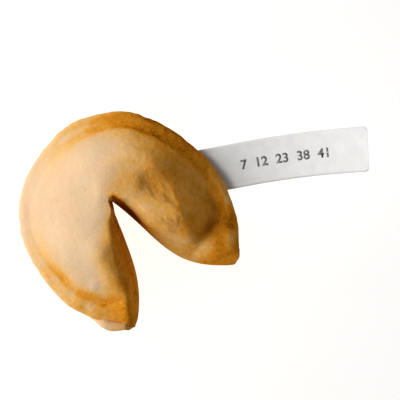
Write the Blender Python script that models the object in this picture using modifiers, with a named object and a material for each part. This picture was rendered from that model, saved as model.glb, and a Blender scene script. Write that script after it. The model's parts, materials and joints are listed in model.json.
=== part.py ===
"""Fortune cookie lying on its back layer, with its paper slip standing out of the rim.

+X runs along the slip, +Z points up, and the floor is z = 0. All sizes are in metres.
"""

import bmesh
import bpy
import numpy as np
from mathutils import Matrix, Vector

OBJECT_NAME = "fortune_cookie"
MM = 0.001

# Wafer, baked as a flat disc
WAFER_RADIUS = 42.0 * MM
WAFER_THICKNESS = 2.2 * MM
RINGS = 21
SPOKES = 100
RING_CROWDING = 1.45

# Outline of the folded cookie seen on its face, about the middle of the round outline
# Each pair is a direction in degrees and the distance of the rim there
RIM_OUTLINE = (
    (-22.0, 32.2 * MM),
    (-18.0, 32.5 * MM),
    (-12.0, 31.9 * MM),
    (0.0, 30.9 * MM),
    (15.0, 29.7 * MM),
    (30.0, 28.7 * MM),
    (48.0, 28.0 * MM),
    (60.0, 28.3 * MM),
    (75.0, 29.4 * MM),
    (90.0, 31.0 * MM),
    (105.0, 31.5 * MM),
    (120.0, 31.9 * MM),
    (140.0, 31.2 * MM),
    (165.0, 31.1 * MM),
    (180.0, 30.6 * MM),
    (200.0, 29.3 * MM),
    (218.0, 28.5 * MM),
    (235.0, 28.9 * MM),
    (250.0, 28.7 * MM),
    (260.0, 28.6 * MM),
    (268.0, 29.3 * MM),
    (272.0, 29.8 * MM),
    (275.0, 29.6 * MM),
)
# The back layer's lip stands out past the front one beside the lower tip
LIP_MIDDLE = 260.0
LIP_SPREAD = 8.5
LIP_WIDTH = 2.3 * MM

# Fold over the bar: the notch has its inner corner here, and its sides bow into it
NOTCH_CORNER = (-4.5 * MM, 5.7 * MM)
RIGHT_BOW = 5.0 * MM
LEFT_BOW = 2.7 * MM
BOW_PEAK = 1.42
BOW_REACH = 38.0
FIRST_BEARING = -55.0
SPINE_STEPS = 60

# Smallest angle or share that counts, and the distance within which points are joined
TINY = 1e-9
JOIN_DISTANCE = 1e-7

# Height of the layers over the middle plane
RIM_GAP = 1.1 * MM
FOLD_OPENING = 0.8 * MM
FOLD_REACH = 6.0 * MM
DOME_RISE = 10.9 * MM
REST_HEIGHT = 14.3 * MM

# Roll of the wafer over the fold, tighter beside the notch corner
ROLL_SHARE = 0.47
ROLL_POWER = 2.0
NOTCH_REACH = 11.0 * MM
NOTCH_NARROWING = 0.20
NOTCH_SQUARING = 0.2

# Face of a layer: direction in degrees, width and slope of the band along the rim, and
# the distance over which the dome rises inside the band
FACE = (
    (-24.0, 12.2 * MM, 0.00, 17.0 * MM),
    (-16.0, 10.7 * MM, 0.02, 14.5 * MM),
    (-7.0, 8.1 * MM, 0.16, 14.0 * MM),
    (-2.0, 6.4 * MM, 0.32, 15.0 * MM),
    (4.0, 4.4 * MM, 0.52, 16.5 * MM),
    (15.0, 3.5 * MM, 0.68, 18.5 * MM),
    (30.0, 3.5 * MM, 0.77, 20.5 * MM),
    (48.0, 3.5 * MM, 0.79, 22.0 * MM),
    (70.0, 3.9 * MM, 0.69, 22.5 * MM),
    (90.0, 4.4 * MM, 0.62, 22.5 * MM),
    (105.0, 4.6 * MM, 0.62, 23.0 * MM),
    (120.0, 4.8 * MM, 0.62, 24.0 * MM),
    (132.0, 4.7 * MM, 0.62, 25.0 * MM),
    (150.0, 4.4 * MM, 0.62, 26.0 * MM),
    (180.0, 3.8 * MM, 0.62, 26.0 * MM),
    (203.0, 4.4 * MM, 0.61, 25.0 * MM),
    (216.0, 4.8 * MM, 0.59, 23.0 * MM),
    (230.0, 5.3 * MM, 0.57, 21.0 * MM),
    (244.0, 5.6 * MM, 0.50, 19.0 * MM),
    (255.0, 5.8 * MM, 0.40, 17.5 * MM),
    (268.0, 6.5 * MM, 0.34, 15.5 * MM),
    (275.0, 7.0 * MM, 0.30, 14.0 * MM),
)

# Paper slip
SLIP_WIDTH = 12.5 * MM
SLIP_LENGTH = 65.3 * MM
SLIP_THICKNESS = 0.3 * MM
SLIP_START = (2.9 * MM, 10.5 * MM)
SLIP_HEADING = 10.9
SLIP_TURN = -8.5
SLIP_TURN_START = 30.0 * MM
SLIP_LIFT_START = 27.0 * MM
SLIP_LIFT_RADIUS = 96.0 * MM
SLIP_CORNER = 1.1 * MM
SLIP_COLUMNS = 34
SLIP_ROWS = 4
SLIP_END_COLUMNS = 5
SLIP_STEPS = 60

WAFER_COLOUR = (0.78, 0.50, 0.22, 1.0)
PAPER_COLOUR = (0.86, 0.86, 0.85, 1.0)


def smooth_table(table, degrees, column=1):
    """Reads one column of a table of directions with a smooth curve through its points."""
    knots = np.array([row[0] for row in table])
    values = np.array([row[column] for row in table])
    slopes = np.gradient(values, knots)
    degrees = np.clip(degrees, knots[0], knots[-1])
    at = np.clip(np.searchsorted(knots, degrees) - 1, 0, len(knots) - 2)
    span = knots[at + 1] - knots[at]
    t = (degrees - knots[at]) / span
    low = (2 * t**3 - 3 * t**2 + 1) * values[at] + (t**3 - 2 * t**2 + t) * span * slopes[at]
    high = (3 * t**2 - 2 * t**3) * values[at + 1] + (t**3 - t**2) * span * slopes[at + 1]
    return low + high


def rim_points(degrees, back):
    """Plan of the rim of one layer, where back is 1 on the back layer and 0 on the front."""
    lip = LIP_WIDTH * np.exp(-(((degrees - LIP_MIDDLE) / LIP_SPREAD) ** 2))
    reach = smooth_table(RIM_OUTLINE, degrees) + back * lip
    angle = np.radians(degrees)
    return np.stack([reach * np.cos(angle), reach * np.sin(angle)], axis=-1)


def plan(share, degrees, back):
    """Plan of a wafer point at a share of the way from the notch corner to the rim."""
    corner = np.array(NOTCH_CORNER)
    first = RIM_OUTLINE[0][0]
    last = RIM_OUTLINE[-1][0]
    points = corner + share[:, None] * (rim_points(degrees, back) - corner)
    hump = np.sin(np.pi * share**BOW_PEAK)
    for end, bow, side in ((first, RIGHT_BOW, -1.0), (last, LEFT_BOW, 1.0)):
        tip = rim_points(np.array([end]), np.array([0.0]))[0]
        along = (tip - corner) / np.linalg.norm(tip - corner)
        across = side * np.array([-along[1], along[0]])
        pull = bow * hump * np.exp(-(((degrees - end) / BOW_REACH) ** 2))
        points = points + pull[:, None] * across
    return points


def distance(points, line):
    """Shortest distance from each point to a line of short straight pieces."""
    starts = line[:-1]
    steps = line[1:] - starts
    gaps = points[:, None, :] - starts[None, :, :]
    t = np.clip((gaps * steps).sum(-1) / (steps**2).sum(-1), 0.0, 1.0)
    return np.linalg.norm(gaps - t[..., None] * steps, axis=-1).min(axis=1)


def spine_line():
    """Plan of the fold, from one tip through the notch corner to the other."""
    share = np.linspace(0.0, 1.0, SPINE_STEPS)
    still = np.zeros_like(share)
    right = plan(share, still + RIM_OUTLINE[0][0], still)
    left = plan(share, still + RIM_OUTLINE[-1][0], still)
    return np.concatenate([right[::-1], left[1:]])


def half_depth(points, back):
    """Height of the outer face over the middle plane."""
    bearing = np.degrees(np.arctan2(points[:, 1], points[:, 0]))
    bearing = np.where(bearing < FIRST_BEARING, bearing + 360.0, bearing)
    reach = np.linalg.norm(rim_points(bearing, back), axis=1)
    from_rim = np.maximum(reach - np.linalg.norm(points, axis=1), 0.0)
    from_spine = distance(points, spine_line())
    band = smooth_table(FACE, bearing)
    rise = np.clip((from_rim - band) / smooth_table(FACE, bearing, 3), 0.0, 1.0)
    gap = RIM_GAP / 2 + FOLD_OPENING * np.exp(-((from_spine / FOLD_REACH) ** 2))
    edge = gap + WAFER_THICKNESS
    slope = smooth_table(FACE, bearing, 2)
    height = edge + slope * np.minimum(from_rim, band) + DOME_RISE * np.sin(np.pi / 2 * rise)
    from_corner = np.linalg.norm(points - np.array(NOTCH_CORNER), axis=1)
    near_corner = np.exp(-((from_corner / NOTCH_REACH) ** 2))
    share = ROLL_SHARE * (1.0 - NOTCH_NARROWING * near_corner)
    roll = edge + share * (height - edge)
    power = ROLL_POWER + NOTCH_SQUARING * near_corner
    left_over = 1.0 - np.clip(from_spine / roll, 0.0, 1.0)
    return height * (1.0 - left_over**power) ** (1.0 / power)


def folded(flat):
    """Where each point of the flat disc lies once it is folded and bent."""
    share = np.clip(np.linalg.norm(flat, axis=1) / WAFER_RADIUS, 0.0, 1.0)
    turn = np.arctan2(flat[:, 1], flat[:, 0])
    back = (turn < -TINY).astype(float)
    front_turn = np.abs(turn)
    first = RIM_OUTLINE[0][0]
    last = RIM_OUTLINE[-1][0]
    degrees = first + (last - first) * (1.0 - np.cos(front_turn)) / 2
    points = plan(share, degrees, back)
    depth = half_depth(points, back)
    on_fold = (front_turn < TINY) | (front_turn > np.pi - TINY) | (share < TINY)
    depth = np.where(on_fold, 0.0, depth)
    height = np.where(back > 0.5, -np.minimum(depth, REST_HEIGHT), depth)
    return np.column_stack([points, height])


def mesh_object(name, build, colour):
    """Makes one object from a function that fills its mesh, with a plain material."""
    mesh = bpy.data.meshes.new(name)
    bm = bmesh.new()
    build(bm)
    bm.to_mesh(mesh)
    bm.free()
    part = bpy.data.objects.new(name, mesh)
    material = bpy.data.materials.new(name + "_material")
    material.use_nodes = True
    material.node_tree.nodes["Principled BSDF"].inputs["Base Color"].default_value = colour
    mesh.materials.append(material)
    return part


def move_verts(bm, places):
    """Puts every vertex of a mesh where a list of places says."""
    for vert, place in zip(bm.verts, places):
        vert.co = Vector(place)


def build_wafer(bm):
    """A flat disc spun from one spoke, then folded in half and bent over the bar."""
    spoke = [bm.verts.new((0.0, 0.0, 0.0))]
    for ring in range(1, RINGS + 1):
        spoke.append(bm.verts.new((WAFER_RADIUS * (ring / RINGS) ** RING_CROWDING, 0.0, 0.0)))
    edges = [bm.edges.new(pair) for pair in zip(spoke[:-1], spoke[1:])]
    bmesh.ops.spin(
        bm,
        geom=spoke + edges,
        cent=(0.0, 0.0, 0.0),
        axis=(0.0, 0.0, 1.0),
        angle=2 * np.pi,
        steps=SPOKES,
        use_merge=True,
    )
    bmesh.ops.remove_doubles(bm, verts=bm.verts, dist=JOIN_DISTANCE)
    bmesh.ops.recalc_face_normals(bm, faces=bm.faces)
    if sum(face.normal.z for face in bm.faces) < 0.0:
        bmesh.ops.reverse_faces(bm, faces=bm.faces)
    flat = np.array([(vert.co.x, vert.co.y) for vert in bm.verts])
    turned = np.where(np.abs(flat) < JOIN_DISTANCE, 0.0, flat)
    move_verts(bm, folded(turned))


def slip_heading(along):
    """Direction of the slip seen from above, in radians, at a distance along it."""
    eased = np.clip((along - SLIP_TURN_START) / (SLIP_LENGTH - SLIP_TURN_START), 0.0, 1.0)
    return np.radians(SLIP_HEADING + SLIP_TURN * eased)


def slip_place(along, across):
    """Where a point of the slip lies, from its distance along and across the strip."""
    gap = along / SLIP_STEPS
    steps = gap * (np.arange(SLIP_STEPS) + 0.5)
    heading = slip_heading(steps)
    lift = np.clip(steps - SLIP_LIFT_START, 0.0, None) / SLIP_LIFT_RADIUS
    flat = gap * np.cos(lift)
    middle_x = SLIP_START[0] + (flat * np.cos(heading)).sum()
    middle_y = SLIP_START[1] + (flat * np.sin(heading)).sum()
    here = slip_heading(along)
    return (
        middle_x - across * np.sin(here),
        middle_y + across * np.cos(here),
        gap * np.sin(lift).sum(),
    )


def build_slip(bm):
    """A flat grid with round corners at its outer end, curled along its length."""
    bmesh.ops.create_grid(bm, x_segments=SLIP_COLUMNS, y_segments=SLIP_ROWS, size=0.5)
    plain = SLIP_COLUMNS - SLIP_END_COLUMNS
    straight = SLIP_LENGTH - SLIP_CORNER
    places = []
    for vert in bm.verts:
        column = round((vert.co.x + 0.5) * SLIP_COLUMNS)
        if column <= plain:
            along = straight * column / plain
            half = SLIP_WIDTH / 2
        else:
            turn = np.pi / 2 * (column - plain) / SLIP_END_COLUMNS
            along = straight + SLIP_CORNER * np.sin(turn)
            half = SLIP_WIDTH / 2 - SLIP_CORNER * (1.0 - np.cos(turn))
        places.append(slip_place(along, 2 * half * vert.co.y))
    move_verts(bm, places)


def thicken(part, thickness, offset):
    """Gives a sheet its thickness and turns the result into the part's own mesh."""
    solidify = part.modifiers.new("thickness", "SOLIDIFY")
    solidify.thickness = thickness
    solidify.offset = offset
    bpy.context.view_layer.update()
    solid = bpy.data.meshes.new_from_object(part.evaluated_get(bpy.context.evaluated_depsgraph_get()))
    part.modifiers.clear()
    part.data = solid


def stand_on_floor(parts):
    """Moves the meshes so that the middle of the underside of their common box is the origin."""
    corners = np.array([vert.co for part in parts for vert in part.data.vertices])
    low = corners.min(axis=0)
    high = corners.max(axis=0)
    shift = (-(low[0] + high[0]) / 2, -(low[1] + high[1]) / 2, -low[2])
    for part in parts:
        part.data.transform(Matrix.Translation(shift))


def main():
    for old in list(bpy.data.objects):
        bpy.data.objects.remove(old, do_unlink=True)
    collection = bpy.data.collections.new(OBJECT_NAME)
    bpy.context.scene.collection.children.link(collection)
    wafer = mesh_object("cookie", build_wafer, WAFER_COLOUR)
    slip = mesh_object("slip", build_slip, PAPER_COLOUR)
    for part in (wafer, slip):
        collection.objects.link(part)
    thicken(wafer, WAFER_THICKNESS, -1.0)
    thicken(slip, SLIP_THICKNESS, 0.0)
    stand_on_floor((wafer, slip))


main()
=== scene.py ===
"""Looks for a fortune cookie that lies on its back layer with its paper slip standing out.

Everything is in metres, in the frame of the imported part: +X along the slip, +Z up, floor at z = 0.
"""

import json

import bmesh
import bpy
import numpy as np
from bpy.props import FloatProperty, FloatVectorProperty, IntProperty, PointerProperty, StringProperty
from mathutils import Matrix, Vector, noise

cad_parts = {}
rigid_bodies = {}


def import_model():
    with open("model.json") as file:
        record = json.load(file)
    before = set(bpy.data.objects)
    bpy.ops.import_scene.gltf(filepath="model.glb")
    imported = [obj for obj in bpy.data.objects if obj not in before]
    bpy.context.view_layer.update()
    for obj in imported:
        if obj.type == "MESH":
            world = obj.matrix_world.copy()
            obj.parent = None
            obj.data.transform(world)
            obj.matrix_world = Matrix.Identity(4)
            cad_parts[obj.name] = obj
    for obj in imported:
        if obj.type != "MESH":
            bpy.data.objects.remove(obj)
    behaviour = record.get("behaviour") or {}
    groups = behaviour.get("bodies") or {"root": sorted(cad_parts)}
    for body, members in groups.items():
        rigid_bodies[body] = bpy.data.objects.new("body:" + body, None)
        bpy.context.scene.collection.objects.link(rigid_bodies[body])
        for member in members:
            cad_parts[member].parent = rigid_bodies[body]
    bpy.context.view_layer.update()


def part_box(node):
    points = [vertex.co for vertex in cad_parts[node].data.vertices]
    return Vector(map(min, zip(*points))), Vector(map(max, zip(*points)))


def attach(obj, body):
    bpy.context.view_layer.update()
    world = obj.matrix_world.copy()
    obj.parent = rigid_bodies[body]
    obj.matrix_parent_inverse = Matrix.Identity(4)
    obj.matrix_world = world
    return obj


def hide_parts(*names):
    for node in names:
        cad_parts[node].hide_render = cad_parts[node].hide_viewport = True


bl_info = {
    "name": "Fortune Cookie",
    "version": (1, 0, 0),
    "blender": (4, 5, 0),
    "location": "3D View > Sidebar > Cookie",
    "description": "Builds a fortune cookie, its printed slip and a small studio",
    "category": "Add Mesh",
}

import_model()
MM = 0.001

# Outline of the folded cookie about the middle of its round outline: direction, distance in mm
RIM_OUTLINE = (
    (-22.0, 32.2),
    (-18.0, 32.5),
    (-12.0, 31.9),
    (0.0, 30.9),
    (15.0, 29.7),
    (30.0, 28.7),
    (48.0, 28.0),
    (60.0, 28.3),
    (75.0, 29.4),
    (90.0, 31.0),
    (105.0, 31.5),
    (120.0, 31.9),
    (140.0, 31.2),
    (165.0, 31.1),
    (180.0, 30.6),
    (200.0, 29.3),
    (218.0, 28.5),
    (235.0, 28.9),
    (250.0, 28.7),
    (260.0, 28.6),
    (268.0, 29.3),
    (272.0, 29.8),
    (275.0, 29.6),
)
FIRST, LAST = RIM_OUTLINE[0][0], RIM_OUTLINE[-1][0]
# Beside the left tip the back layer has a lip and the front layer is cut back a little:
# direction, spread in degrees and width
LIP_MIDDLE, LIP_SPREAD, LIP_WIDTH = 260.0, 8.5, 2.3
LIP_CUT_MIDDLE, LIP_CUT_SPREAD, LIP_CUT = 267.5, 5.0, 1.0

# Notch: its inner corner, the direction it opens in, a place inside it and how its sides bow in
NOTCH_CORNER = np.array((-4.5, 5.7))
NOTCH_FACING = -52.0
NOTCH_MIDDLE = (-0.8, 0.97)
RIGHT_BOW, LEFT_BOW = 5.0, 2.7
BOW_PEAK, BOW_REACH = 1.42, 38.0
SPINE_STEPS = 60
# Directions below these, from the middle and from inside the notch, are counted on past 180
LOWEST_BEARING, LOWEST_FACING = -55.0, -60.0
# How far the front layer leans over the notch beside its corner and the back layer sinks away,
# how far that reaches along the right and the left side, inwards and up
LEAN, SINK = (0.80, -0.10), (-0.55, 0.40)
LEAN_RIGHT, LEAN_LEFT, LEAN_INWARD, LEAN_HEIGHT = 4.5, 6.0, 2.5, 9.0

# Heights over the middle plane, in mm
RIM_GAP, FOLD_OPENING, FOLD_REACH = 1.1, 0.8, 6.0
FRONT_RISE, BACK_RISE, REST_HEIGHT = 9.1, 10.9, 14.3
SOLID_THICKNESS = 2.2
BACK_ROLL_SHARE, BACK_ROLL_POWER = 0.47, 2.0
NARROWEST_ROLL = 0.45
# Dents fade out over these distances towards the fold and the rim
DENT_FADE_FOLD, DENT_FADE_RIM = 3.5, 6.0

# Layers of soft noise: size in mm, seed and strength
BROWNING_WANDER = ((3.5, 1, 0.10), (1.4, 2, 0.05))
UNEVEN_FACE = ((12.0, 13, 0.16), (5.5, 4, 0.10), (2.6, 5, 0.055))
UNEVEN_BAND = ((4.0, 8, 0.16), (1.8, 9, 0.08))
WORN_RIM = ((6.0, 10, 0.20), (1.9, 11, 0.16))

# Rim: how far in the wear reaches, its mean and its limits, and where the rim stands fuller
WEAR_REACH, WEAR_MEAN, WEAR_LIMITS = 1.4, 0.02, (-0.75, 0.6)
FULL_MIDDLE, FULL_SPREAD, FULL_AMOUNT = 55.0, 42.0, 0.50
# Its edge droops and is rounded by these shares of the wall, the droop over the given reach
DROOP, DROOP_REACH, ROUNDING = 0.24, 0.8, 0.18
# The wall is thinner inside the rim, and thinner again towards the fold: share, start and end
INNER_THINNING = (0.18, 0.5, 6.0)
FOLD_THINNING = (0.75, 0.5, 8.0)
# The lip's climb towards the front layer: first and last direction, and height
LIP_CLIMB = ((226.0, 249.0, 2.7), (247.0, 258.0, 2.4), (258.0, 272.0, 1.2))
# The rim of both layers turns up at the right tip: direction, spread, height, and the distances
# from the rim between which it grows
UPTURN_MIDDLE, UPTURN_SPREAD, UPTURN = -8.0, 13.0, 1.6
UPTURN_START, UPTURN_END = 5.2, -1.4
# The left tip is rounded off: its place, how far that reaches and how far it is drawn in
LEFT_TIP, LEFT_TIP_REACH, LEFT_TIP_PULL = (2.6, -29.2), 2.0, (-0.3, 0.4)
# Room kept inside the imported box, and the height over which the dome is eased under its top
MARGIN, TOP_EASE = 0.02, 0.8

# Wrinkles down the middle of the right lobe, blisters on the upper face and one knob, whose paleness in
# PATCHES is a painted highlight
WRINKLE_TURN, WRINKLE_STRETCH, WRINKLE_SIZE = -58.0, 0.42, 1.7
WRINKLE_PATCH = ((10.4, 4.2), -45.0, 7.0, 4.6)
BLISTER_COUNT, BLISTER_MIDDLE, BLISTER_SPREAD = 24, (3.6, 18.8), (3.0, 3.6)
BLISTER_RADIUS, BLISTER_HEIGHT = (0.35, 0.75), (0.06, 0.15)
KNOB, KNOB_RADIUS, KNOB_HEIGHT = (-8.8, -17.2), 1.5, 0.24

# How brown the dome is from left to right, browner towards the right, the side turned from the key light,
# with painted shade; the hidden dome; and the sides of the notch, with painted shade and shadow
DOME_PALE, DOME_BROWN_AND_SHADE, DOME_LEFT, DOME_RIGHT = 0.03, 0.70, -9.5, 10.0
BACK_DOME, NOTCH_SIDE, NOTCH_DEEP, BROWNEST = 0.35, 0.92, 1.3, 1.3

# Mesh: rings of the inner wall, steps round the rim's edge and how the rings crowd
INNER_RINGS, EDGE_STEPS, RING_CROWDING = 30, 5, 1.22
# Smallest share and turn that count, and the share that is still the pole
TINY, POLE_SHARE = 1e-9, 1e-5

# Face of the layers by direction: width of the band along the rim; on the front and then on
# the back, the slope of the band and the distance over which the dome rises inside it; how
# brown the rim, the band, its inner edge and the dome beside it are, which on the right side, turned from
# the key light, is partly painted shade; and how deep the edge is
FACE = (
    (-24.0, 12.2, -0.06, 29.4, 0.00, 17.0, 0.90, 0.95, 0.70, 0.55, 0.0),
    (-16.0, 10.7, 0.15, 31.2, 0.02, 14.5, 0.90, 0.95, 0.70, 0.55, 0.0),
    (-7.0, 8.1, 0.38, 29.9, 0.16, 14.0, 0.85, 0.93, 0.90, 0.78, 0.0),
    (-2.0, 6.4, 0.41, 27.4, 0.32, 15.0, 0.78, 0.95, 0.95, 0.80, 0.0),
    (4.0, 4.4, 0.55, 25.3, 0.52, 16.5, 0.60, 0.93, 1.00, 0.82, 0.1),
    (15.0, 3.5, 0.68, 22.2, 0.68, 18.5, 0.45, 0.70, 0.94, 0.80, 0.1),
    (30.0, 3.5, 0.80, 19.8, 0.77, 20.5, 0.72, 0.80, 0.86, 0.68, 0.2),
    (48.0, 3.5, 0.88, 17.4, 0.79, 22.0, 1.05, 0.95, 0.96, 0.74, 0.6),
    (70.0, 3.9, 0.90, 15.6, 0.69, 22.5, 1.08, 0.97, 1.04, 0.76, 1.0),
    (90.0, 4.4, 0.68, 15.6, 0.62, 22.5, 0.92, 0.88, 0.95, 0.48, 1.0),
    (105.0, 4.6, 0.59, 16.4, 0.62, 23.0, 0.45, 0.76, 0.74, 0.27, 0.8),
    (120.0, 4.8, 0.54, 18.0, 0.62, 24.0, 0.45, 0.48, 0.58, 0.14, 0.5),
    (132.0, 4.7, 0.50, 19.5, 0.62, 25.0, 0.20, 0.30, 0.32, 0.12, 0.3),
    (150.0, 4.4, 0.50, 21.0, 0.62, 26.0, 0.08, 0.10, 0.10, 0.05, 0.1),
    (180.0, 3.8, 0.49, 21.5, 0.62, 26.0, 0.04, 0.06, 0.07, 0.07, 0.1),
    (203.0, 4.4, 0.47, 19.0, 0.61, 25.0, 0.14, 0.28, 0.38, 0.16, 0.3),
    (216.0, 4.8, 0.46, 18.5, 0.59, 23.0, 0.30, 0.44, 0.66, 0.14, 0.8),
    (230.0, 5.3, 0.43, 20.0, 0.57, 21.0, 0.42, 0.56, 0.72, 0.14, 1.0),
    (244.0, 5.6, 0.41, 23.4, 0.50, 19.0, 0.44, 0.60, 0.74, 0.18, 0.9),
    (255.0, 5.8, 0.35, 24.3, 0.40, 17.5, 0.50, 0.63, 0.74, 0.36, 0.5),
    (268.0, 6.5, 0.33, 28.1, 0.34, 15.5, 0.66, 0.74, 0.76, 0.50, 0.2),
    (275.0, 7.0, 0.32, 31.4, 0.30, 14.0, 0.72, 0.76, 0.78, 0.55, 0.0),
)

# Roll of the front layer over the fold: direction seen from inside the notch, width, squareness
ROLL = (
    (-24.0, 4.6, 1.3),
    (0.0, 5.4, 1.4),
    (30.0, 5.6, 1.5),
    (70.0, 4.4, 1.5),
    (100.0, 3.0, 1.8),
    (120.0, 2.0, 2.4),
    (135.0, 0.6, 3.0),
    (150.0, 0.7, 3.0),
    (168.0, 1.4, 3.2),
    (180.0, 1.9, 3.2),
    (200.0, 2.8, 3.2),
    (220.0, 3.3, 3.0),
    (235.0, 3.4, 2.8),
    (250.0, 3.7, 2.6),
    (262.0, 4.4, 2.1),
    (277.0, 4.8, 1.6),
)

# Soft dents and swells of the front layer: place, turn, length, width and height
DENTS = (
    (-13.4, 14.8, 17.0, 10.0, 6.9, 2.0),
    (-14.7, -5.1, -1.0, 7.4, 7.8, 1.2),
    (1.6, 5.0, 49.0, 6.1, 2.8, -1.01),
    (6.3, 11.9, -32.0, 7.0, 3.8, -1.86),
    (18.1, -1.2, -42.0, 11.1, 4.3, 2.85),
    (6.4, 17.9, -2.0, 11.6, 6.1, 3.11),
    (8.9, 3.2, -20.0, 7.2, 2.4, 1.91),
    (16.9, -4.6, -62.0, 2.6, 2.6, 0.58),
    (21.9, -2.5, -58.0, 3.2, 3.2, -1.6),
    (22.5, -0.8, 60.0, 5.5, 2.2, -1.6),
    (11.5, 15.5, -35.0, 6.0, 3.4, 0.6),
    (8.2, 13.6, -45.0, 5.0, 2.6, 0.8),
    (10.6, 7.0, -45.0, 4.5, 2.2, -0.5),
    (-0.5, 11.2, 70.0, 5.5, 4.0, 1.0),
    (25.0, 4.6, -60.0, 4.5, 3.0, -0.8),
    (29.4, -4.4, -78.0, 6.5, 2.6, 2.4),
    (0.4, -24.5, 85.0, 5.0, 3.2, 1.2),
    (-3.3, 9.4, 60.0, 4.5, 3.0, 1.0),
    (23.5, 6.4, -50.0, 7.0, 6.0, -1.4),
    (17.5, 3.7, -21.0, 8.6, 3.1, 1.91),
    (-4.6, -13.0, -58.0, 8.4, 3.8, 2.1),
    (-3.5, 13.0, 20.0, 6.8, 3.9, -0.2),
)

# Soft patches of the front layer that are paler or browner: the same, with an amount. Some of them are
# painted light and shade, marked below
PATCHES = (
    # paler along the right lobe's ridge that faces the key light: painted light
    (6.2, 2.8, -40.0, 7.0, 2.6, -0.20),
    (9.8, 3.9, -40.0, 6.0, 3.6, -0.20),
    (13.0, -4.2, -45.0, 4.5, 2.2, -0.14),
    # browner on the slope beside the crease, turned from the key light: painted shade
    (17.0, 0.4, -50.0, 6.0, 2.2, 0.10),
    (22.0, -7.4, 75.0, 4.0, 2.0, -0.28),
    # browner in the valley beside the notch corner: painted shade
    (-1.7, 9.0, 45.0, 4.2, 2.4, 0.22),
    # paler knob on the left lobe: painted highlight
    (-8.8, -17.2, 0.0, 1.3, 1.1, -0.35),
    (28.6, -4.2, 70.0, 2.2, 1.3, -0.35),
    (29.6, 1.0, 80.0, 3.5, 1.5, 0.30),
    (-6.2, -23.0, 20.0, 1.5, 0.5, 0.34),
    (-13.4, 25.2, 35.0, 2.6, 1.1, -0.25),
    (-17.0, 23.4, 40.0, 1.9, 1.0, -0.22),
    (-15.7, -20.4, -45.0, 2.2, 1.2, -0.24),
    (-18.6, -18.2, -50.0, 1.3, 0.9, -0.20),
    (-11.4, -23.0, -35.0, 1.6, 0.8, -0.22),
)

# Slip, in mm: size, inner end, heading and how it turns, how it lifts off and its round corners
SLIP_WIDTH, SLIP_LENGTH = 12.5, 65.2
SLIP_START = (2.9, 10.5)
SLIP_HEADING, SLIP_TURN, SLIP_TURN_START = 10.9, -8.5, 30.0
SLIP_LIFT_START, SLIP_LIFT_RADIUS = 27.0, 96.0
SLIP_CORNER = 1.1
SLIP_COLUMNS, SLIP_ROWS, SLIP_CORNER_COLUMNS, SLIP_STEPS = 150, 18, 10, 60
# Its free part is a little cupped and twisted
SLIP_FREE_START, SLIP_FREE_END = 27.0, 60.0
SLIP_CUP, SLIP_CUP_SPAN, SLIP_SAG = 0.16, 1.6, 0.12
SLIP_TWIST, SLIP_TWIST_LENGTH = 0.10, 5.2

# Printed numbers: letter weight and spacing, and their height over the paper and thickness in mm
LETTER_WEIGHT, LETTER_SPACING = 0.028, 1.04
INK_LIFT, INK_THICKNESS = 0.012, 0.02

# Stage: colour of the lights, the floor light's share of the key light, the floor's drop in mm
LIGHT_COLOUR = (1.0, 0.985, 0.96)
FLOOR_LIGHT_SHARE = 1.30
FLOOR_DROP = 0.05


# ---------------------------------------------------------------- shape of the folded wafer


def smooth_table(table, degrees, column=1):
    """Reads one column of a table of directions with a smooth curve through its points."""
    knots = np.array([row[0] for row in table])
    values = np.array([row[column] for row in table])
    slopes = np.gradient(values, knots)
    degrees = np.clip(degrees, knots[0], knots[-1])
    at = np.clip(np.searchsorted(knots, degrees) - 1, 0, len(knots) - 2)
    span = knots[at + 1] - knots[at]
    t = (degrees - knots[at]) / span
    low = (2 * t**3 - 3 * t**2 + 1) * values[at] + (t**3 - 2 * t**2 + t) * span * slopes[at]
    high = (3 * t**2 - 2 * t**3) * values[at + 1] + (t**3 - t**2) * span * slopes[at + 1]
    return low + high


def smooth_step(low, high, value):
    """0 below low, 1 above high and a soft curve between."""
    t = np.clip((value - low) / (high - low), 0.0, 1.0)
    return t * t * (3 - 2 * t)


def hump(value, middle, width):
    """A soft bump of height 1 round the middle."""
    return np.exp(-(((value - middle) / width) ** 2))


def rim_points(degrees, back):
    """Plan of the rim of one layer: back is 1 on the back layer and 0 on the front."""
    lip = LIP_WIDTH * hump(degrees, LIP_MIDDLE, LIP_SPREAD)
    cut = LIP_CUT * hump(degrees, LIP_CUT_MIDDLE, LIP_CUT_SPREAD)
    reach = smooth_table(RIM_OUTLINE, degrees) + back * lip - (1 - back) * cut
    angle = np.radians(degrees)
    return np.stack([reach * np.cos(angle), reach * np.sin(angle)], axis=-1)


def plan(share, degrees, back):
    """Plan of a wafer point at a share of the way from the notch corner to the rim."""
    points = NOTCH_CORNER + share[:, None] * (rim_points(degrees, back) - NOTCH_CORNER)
    swell = np.sin(np.pi * share**BOW_PEAK)
    for end, bow, side in ((FIRST, RIGHT_BOW, -1.0), (LAST, LEFT_BOW, 1.0)):
        tip = rim_points(np.array([end]), np.array([0.0]))[0]
        along = (tip - NOTCH_CORNER) / np.linalg.norm(tip - NOTCH_CORNER)
        across = side * np.array([-along[1], along[0]])
        points = points + (bow * swell * hump(degrees, end, BOW_REACH))[:, None] * across
    return points


def distance(points, line):
    """Shortest distance from each point to a line of short straight pieces."""
    starts, steps = line[:-1], line[1:] - line[:-1]
    lengths = (steps**2).sum(-1)
    nearest = np.empty(len(points))
    batch = 4000
    for at in range(0, len(points), batch):
        gaps = points[at : at + batch, None, :] - starts[None]
        t = np.clip((gaps * steps).sum(-1) / lengths, 0.0, 1.0)
        off = gaps - t[..., None] * steps
        nearest[at : at + batch] = np.sqrt((off**2).sum(-1).min(axis=1))
    return nearest


def spine_line():
    """Plan of the fold, from one tip through the notch corner to the other."""
    share = np.linspace(0.0, 1.0, SPINE_STEPS)
    still = np.zeros_like(share)
    right = plan(share, still + FIRST, still)
    left = plan(share, still + LAST, still)
    return np.concatenate([right[::-1], left[1:]])


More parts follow.
